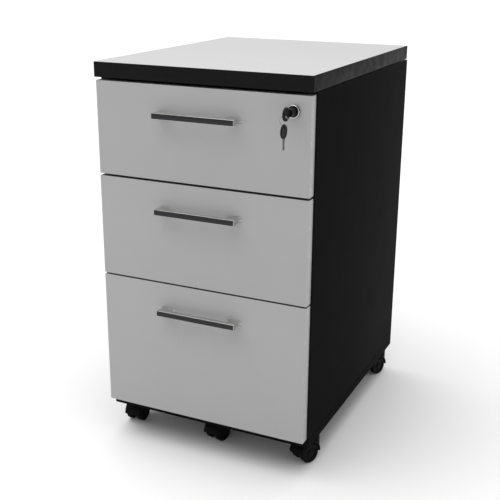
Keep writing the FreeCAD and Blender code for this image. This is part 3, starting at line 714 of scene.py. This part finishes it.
def add_key_blade(shape, place):
    """A flat blade with cuts along one edge and a bevelled tip."""
    # the outline and the layers through its thickness, in mm
    outline = [(20, -2.4), (37.6, -2.4), (38.9, -0.9), (38.9, 0.5), (37.4, 2.4), (36.4, 2.4)]
    outline += [(35.4, 1.5), (34.2, 1.5), (33.3, 2.1), (32.0, 1.2), (30.8, 1.2), (29.6, 2.0)]
    outline += [(28.4, 1.5), (27.2, 1.5), (26.0, 2.4), (20, 2.4)]
    layers = ((-0.84, 0.12), (-0.72, 0), (0.72, 0), (0.84, 0.12))
    rings = []
    for x, shrink in layers:
        ring = []
        for y, z in outline:
            z -= shrink if z > 0 else -shrink
            ring.append(place @ Vector((x * MM, y * MM, z * MM)))
        rings.append(ring)
    add_skin(shape, rings)


def key_head_mesh(node, place):
    """The head, with the hole that the ring goes through."""
    shape = bmesh.new()
    add_key_head(shape, place)
    hole_at = place @ Vector((0, 3.9 * MM, 0))
    radius, beyond = 2.6 * MM, 3 * MM
    hole = cylinder(radius, -beyond, beyond, along_axis(hole_at, (1, 0, 0)), steps=32)
    return carve(as_mesh(f"{node}_head", shape), hole)


def key_blade_mesh(node, place):
    """The blade, with a groove along each side."""
    shape = bmesh.new()
    add_key_blade(shape, place)
    floor, outside = 0.5 * MM, 2 * MM
    start, end = 18 * MM, 40 * MM
    groove = bmesh.new()
    add_box(groove, (floor, start, -1.0 * MM), (outside, end, -0.1 * MM))
    add_box(groove, (-outside, start, 0.1 * MM), (-floor, end, 0.8 * MM))
    groove.transform(place)
    blade = as_mesh(f"{node}_blade", shape, sharp_angle=30)
    return carve(blade, as_mesh("groove", groove), sharp_angle=30)


def make_key(node, place):
    """A key of a moulded head on a steel blade."""
    whole = bmesh.new()
    whole.from_mesh(key_head_mesh(node, place))
    count = len(whole.faces)
    whole.from_mesh(key_blade_mesh(node, place))
    use_second_finish(whole, count)
    mesh = as_mesh(f"{node}_cut", whole, sharp_angle=32)
    finishes = ("key_plastic", "key_steel")
    add_piece(f"{node}_cut", mesh, body_of(node), "key_plastic", (node,), finishes)


def make_key_ring():
    low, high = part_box("key_ring")
    wire = 0.46 * MM
    radius = (high.x - low.x) / 2 - 0.5 * MM
    shape = bmesh.new()
    place = along_axis((low + high) / 2, (0, 1, 0))
    add_lathe(shape, arc((radius, 0), wire, 0, 360, steps=10), place, steps=72)
    mesh = as_mesh("ring_wire", shape, sharp_angle=60)
    add_piece("ring_wire", mesh, body_of("key_ring"), "ring_wire", ("key_ring",))


def make_keys():
    """The key in the lock, and the spare key below it on the ring."""
    x, _, z = JOINTS["lock_turn"]["pos_m"]
    make_key("key", Matrix.Translation((x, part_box("key")[0].y, z)))
    low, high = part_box("spare_key")
    top = Matrix.Translation((x, (low.y + high.y) / 2, high.z))
    make_key("spare_key", top @ Matrix.Rotation(radians(-90), 4, "X"))
    make_key_ring()


# castors

HOOD = 23.5 * MM  # the hood's outer radius
HOOD_HALF = 16.5 * MM  # half its width
POCKET = 19.6 * MM  # the radius of the room that the wheels turn in
WEB = 5 * MM  # half the thickness of the web between the wheels
HUB = 12 * MM  # the radius of the web's boss and of the upright hub
EASE = 0.7 * MM  # the rounding of both


def add_hood(shape, place):
    """The hood over both wheels, the web between them and its boss round the axle."""
    rounding = 2.4 * MM
    shoulder = HOOD - rounding
    section = [(POCKET, -HOOD_HALF), (shoulder - 0.2 * MM, -HOOD_HALF)]
    section += arc((shoulder, -HOOD_HALF + rounding), rounding, -90, 0, steps=5)
    section += arc((shoulder, HOOD_HALF - rounding), rounding, 0, 90, steps=5)
    section += [(POCKET, HOOD_HALF), (POCKET, WEB), (POCKET, -WEB), (POCKET, -HOOD_HALF)]
    add_half_lathe(shape, section, place)

    rim = HUB - EASE
    boss = [(0, -WEB), (rim, -WEB)]
    boss += arc((rim, -WEB + EASE), EASE, -90, 0, steps=3)
    boss += arc((rim, WEB - EASE), EASE, 0, 90, steps=3)
    add_lathe(shape, boss + [(0, WEB)], place, steps=48)

    far = POCKET + 1 * MM
    web = [(rim, -WEB), (far, -WEB), (far, WEB), (rim, WEB), (rim, -WEB)]
    add_half_lathe(shape, web, place)


def hub_mesh(pivot, place):
    """The upright hub round the stem, cut away where the wheels turn."""
    low, high = 20.2 * MM, 51.4 * MM
    rim, groove = HUB - EASE, HUB - 0.5 * MM
    profile = [(0, low), (rim, low)]
    profile += arc((rim, low + EASE), EASE, -90, 0, steps=3)
    profile += [(HUB, high - 4.4 * MM), (groove, high - 4 * MM)]
    profile += [(groove, high - 3.4 * MM), (HUB, high - 3 * MM)]
    profile += arc((rim, high - EASE), EASE, 0, 90, steps=3)
    profile.append((0, high))
    shape = bmesh.new()
    add_lathe(shape, profile, Matrix.Translation((pivot[0], pivot[1], 0)), steps=64)
    beyond = 2 * HOOD_HALF
    spans = ((WEB, beyond), (-beyond, -WEB))
    pockets = [cylinder(POCKET, *span, place, steps=64) for span in spans]
    return carve(as_mesh("hub", shape), *pockets)


def add_axle(shape, place):
    """A steel rod with chamfered ends."""
    radius, tip, end, chamfer = 2.45 * MM, 1.9 * MM, 14.9 * MM, 0.5 * MM
    rod = [(0, -end), (tip, -end), (radius, -end + chamfer), (radius, end - chamfer)]
    add_lathe(shape, rod + [(tip, end), (0, end)], place, steps=32)


def make_castor_frame(castor):
    """The moulded hood, its web and hub, and the steel axle."""
    roll = JOINTS[f"wheel_roll_left_{castor}"]
    place = along_axis(roll["pos_m"], roll["axis"])
    shape = bmesh.new()
    add_hood(shape, place)
    shape.from_mesh(hub_mesh(JOINTS[f"castor_swivel_{castor}"]["pos_m"], place))
    count = len(shape.faces)
    add_axle(shape, place)
    use_second_finish(shape, count)
    node = f"castor_frame_{castor}"
    name, finishes = f"castor_hood_{castor}", ("castor_nylon", "zinc_steel")
    mesh = as_mesh(name, shape, sharp_angle=40)
    add_piece(name, mesh, body_of(node), "castor_nylon", (node,), finishes)


def wheel_profile(radius, rounding):
    """Half a wheel's section in mm, from its bore round to its hub cap."""
    bore, bore_end = 2.6, 15.2
    inner, outer = 6.2, 16
    tread, middle = radius - rounding, (inner + outer) / 2
    dish, ridge = 14.52, 14.7
    cap, cap_edge, cap_rounding = 6.5, 15.3, 0.5

    profile = [(0, bore_end), (bore, bore_end), (bore, inner + 0.4), (bore + 2, inner + 0.4)]
    profile += [(bore + 2.4, inner), (tread, inner)]
    # the tread, with its parting line
    profile += arc((tread, inner + rounding), rounding, -90, 0, steps=5)[1:]
    profile += [(radius, middle - 0.25), (radius - 0.16, middle), (radius, middle + 0.25)]
    profile += arc((tread, outer - rounding), rounding, 0, 90, steps=5)
    # the outer face steps down to the dish, with a ridge half way
    profile += [(13.2, outer), (12.8, outer - 0.15), (12.4, outer - 0.6)]
    profile += [(12.1, dish + 0.1), (11.6, dish), (9.4, dish), (9.2, ridge), (8.6, ridge)]
    profile += [(8.4, dish), (6.9, dish), (6.6, ridge), (cap, cap_edge)]
    # the cap, slightly domed
    profile += arc((cap - cap_rounding, cap_edge), cap_rounding, 0, 90, steps=4)
    profile += [(4.5, 15.88), (2.4, 15.94), (0, 15.96)]
    return profile


def make_wheel(castor, side, sign):
    """A nylon wheel with a parting line round its tread, a dished face and a closed hub cap."""
    radius, rounding = 18, 1.5
    roll = JOINTS[f"wheel_roll_{side}_{castor}"]
    centre, axis = Vector(roll["pos_m"]), Vector(roll["axis"])
    profile = [(r * MM, z * MM) for r, z in wheel_profile(radius, rounding)]
    shape = bmesh.new()
    add_lathe(shape, profile, along_axis(centre, axis * sign), steps=72)
    tread_from = (radius - 0.6) * MM
    for face in shape.faces:
        offset = face.calc_center_median() - centre
        away = (offset - axis * offset.dot(axis)).length
        face.material_index = 1 if away > tread_from else 0
    node = f"castor_wheel_{side}_{castor}"
    name, finishes = f"castor_tyre_{side}_{castor}", ("wheel_nylon", "wheel_tread")
    mesh = as_mesh(name, shape, sharp_angle=40)
    add_piece(name, mesh, body_of(node), "wheel_nylon", (node,), finishes)


def make_castors():
    for castor in CASTORS:
        make_castor_frame(castor)
        make_wheel(castor, "left", -1)
        make_wheel(castor, "right", 1)


def make_castor_plates():
    """Plates with eased edges, each with the stem of its castor pointing down from it."""
    low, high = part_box("castor_plates")
    half, under = 16 * MM, high.z - 2.5 * MM
    radius, tip, chamfer, overlap = 3.95 * MM, 3.4 * MM, 0.6 * MM, 0.2 * MM
    stem = [(0, low.z), (tip, low.z), (radius, low.z + chamfer), (radius, under)]
    stem += [(radius, under + overlap), (0, under + overlap)]
    shape = bmesh.new()
    for castor in CASTORS:
        x, y, _ = JOINTS[f"castor_swivel_{castor}"]["pos_m"]
        corners = ((x - half, y - half, under), (x + half, y + half, high.z))
        add_box(shape, *corners, rounding=0.6 * MM, steps=3)
        add_lathe(shape, stem, Matrix.Translation((x, y, 0)), steps=40)
    mesh = as_mesh("castor_seats", shape)
    add_piece("castor_seats", mesh, "cabinet", "castor_steel", ("castor_plates",))


def make_castor_screws():
    """Four pan-head screws up into each plate's corners, each with a recess in its head."""
    low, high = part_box("castor_screws")
    offset, shank, point = 11.5 * MM, 1.95 * MM, 3 * MM
    # the head's outline in mm, from the bottom of its recess to the shank
    head = [(0, 1.2), (0.9, 1.1), (1.3, 0.05), (2.2, 0.1), (3.1, 0.45), (3.6, 1.1)]
    head += [(3.75, 1.7), (3.75, 2.2)]
    profile = [(r * MM, low.z + z * MM) for r, z in head]
    profile += [(shank, profile[-1][1]), (shank, high.z - point), (0, high.z)]
    shape = bmesh.new()
    for castor in CASTORS:
        x, y, _ = JOINTS[f"castor_swivel_{castor}"]["pos_m"]
        for dx in (-offset, offset):
            for dy in (-offset, offset):
                place = Matrix.Translation((x + dx, y + dy, 0))
                add_lathe(shape, profile, place, steps=24)
    mesh = as_mesh("castor_fixings", shape, sharp_angle=40)
    add_piece("castor_fixings", mesh, body_of("castor_screws"), "zinc_steel", ("castor_screws",))


# studio


def make_floor():
    """A pale floor that reaches out of sight."""
    mesh = bpy.data.meshes.new("floor")
    half = 40
    corners = [(-half, -half, 0), (half, -half, 0), (half, half, 0), (-half, half, 0)]
    mesh.from_pydata(corners, [], [(0, 1, 2, 3)])
    material, tree, shader = new_material("floor", grey(0.9), roughness=0.7)
    set_roughness(tree, shader, add_noise(tree, scale=3, detail=3), 0.62, 0.75)
    mesh.materials.append(material)
    floor = bpy.data.objects.new("floor", mesh)
    bpy.context.scene.collection.objects.link(floor)


def make_lights():
    """One broad soft light from above, and an even surround."""
    scene = bpy.context.scene
    world = bpy.data.worlds.new("studio")
    world.use_nodes = True
    background = world.node_tree.nodes["Background"]
    background.inputs["Color"].default_value = (1, 1, 1, 1)
    background.inputs["Strength"].default_value = 0.6
    scene.world = world

    light = bpy.data.lights.new("ceiling", "SUN")
    light.angle = radians(70)
    light.energy = 2.2
    lamp = bpy.data.objects.new("ceiling", light)
    lamp.rotation_euler = (radians(8), radians(-10), 0)
    scene.collection.objects.link(lamp)
    scene.view_settings.view_transform = "Standard"


def make_camera():
    """Stands to the front right of the cabinet, above its top, and looks down at it."""
    place = (0.6755, -1.4735, 0.8648)
    heading, down, roll = radians(25.086), radians(18.474), radians(0.345)
    camera = bpy.data.cameras.new("camera")
    camera.sensor_width = 36
    camera.lens = 64.6
    camera.clip_end = 200
    holder = bpy.data.objects.new("camera", camera)
    turn = Matrix.Rotation(heading, 4, "Z") @ Matrix.Rotation(pi / 2 - down, 4, "X")
    holder.matrix_world = Matrix.Translation(place) @ turn @ Matrix.Rotation(roll, 4, "Z")
    bpy.context.scene.collection.objects.link(holder)
    bpy.context.scene.camera = holder


finish_cad_nodes()
make_boards()
make_handles()
make_lock()
make_keys()
make_castors()
make_castor_plates()
make_castor_screws()
make_floor()
make_lights()
make_camera()
